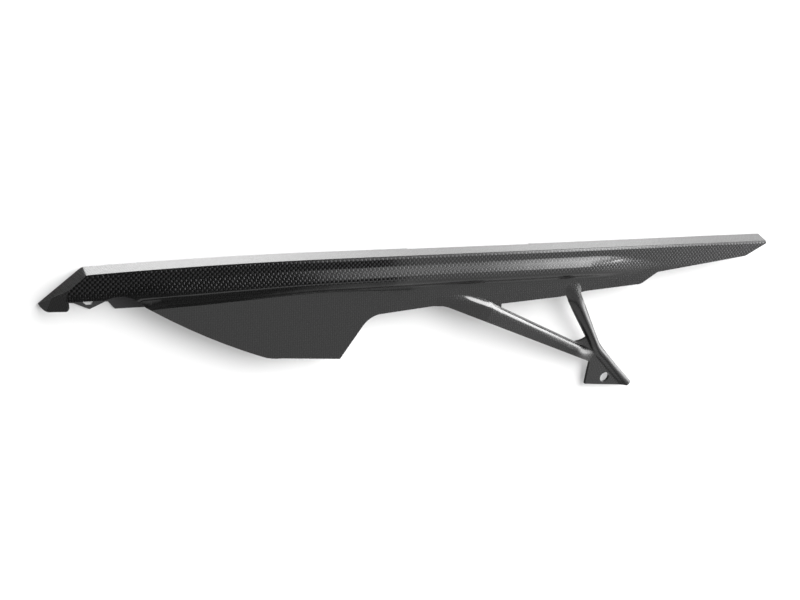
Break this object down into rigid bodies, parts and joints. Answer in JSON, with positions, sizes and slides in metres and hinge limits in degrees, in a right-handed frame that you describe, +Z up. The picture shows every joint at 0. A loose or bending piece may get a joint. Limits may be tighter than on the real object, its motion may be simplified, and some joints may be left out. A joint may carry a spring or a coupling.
{
  "type": "motorcycle chain guard",
  "caption": "Moulded carbon-fibre chain guard: a channel over the chain with a rounded bulge, a side fin, an open triangular rear bracket and a nose with a slotted front tab.",
  "frame": {"origin": "centre of the rear fixing hole, on the outer face of its lug", "axes": "+X to the rear of the motorcycle, +Y inboard towards the wheel, +Z up"},
  "size_m": [0.6052, 0.029, 0.1213],
  "materials": {
    "carbon_laminate": "clear-coated plain-weave carbon fibre, gloss outside and resin-matt inside"
  },
  "bodies": {
    "root": {"chain_guard": "carbon_laminate"}
  },
  "joints": []
}
